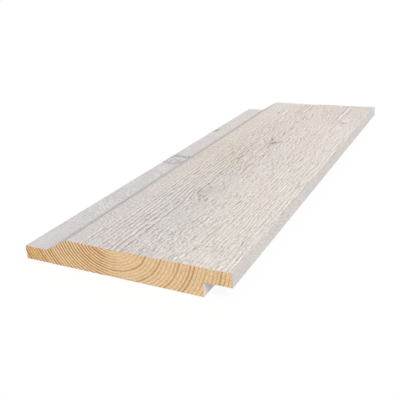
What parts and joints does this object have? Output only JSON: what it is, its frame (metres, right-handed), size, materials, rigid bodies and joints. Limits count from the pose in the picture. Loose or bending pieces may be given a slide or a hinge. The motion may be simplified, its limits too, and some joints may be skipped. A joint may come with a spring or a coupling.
{
  "type": "double rebated cladding board",
  "caption": "Timber cladding board with a lap and sloping shoulder on one edge, an overhanging lip on the other, a white brushed face and bare cut ends.",
  "frame": {"origin": "under the middle of the board, on the plane that its back lies on", "axes": "+X across the board from the lap to the lip, +Y along the grain, +Z from the back to the face"},
  "size_m": [0.148, 0.383, 0.019],
  "materials": {
    "white_timber": "thin matt white coat over brushed softwood, both cut ends bare"
  },
  "bodies": {
    "root": {"cladding_board": "white_timber"}
  },
  "joints": []
}
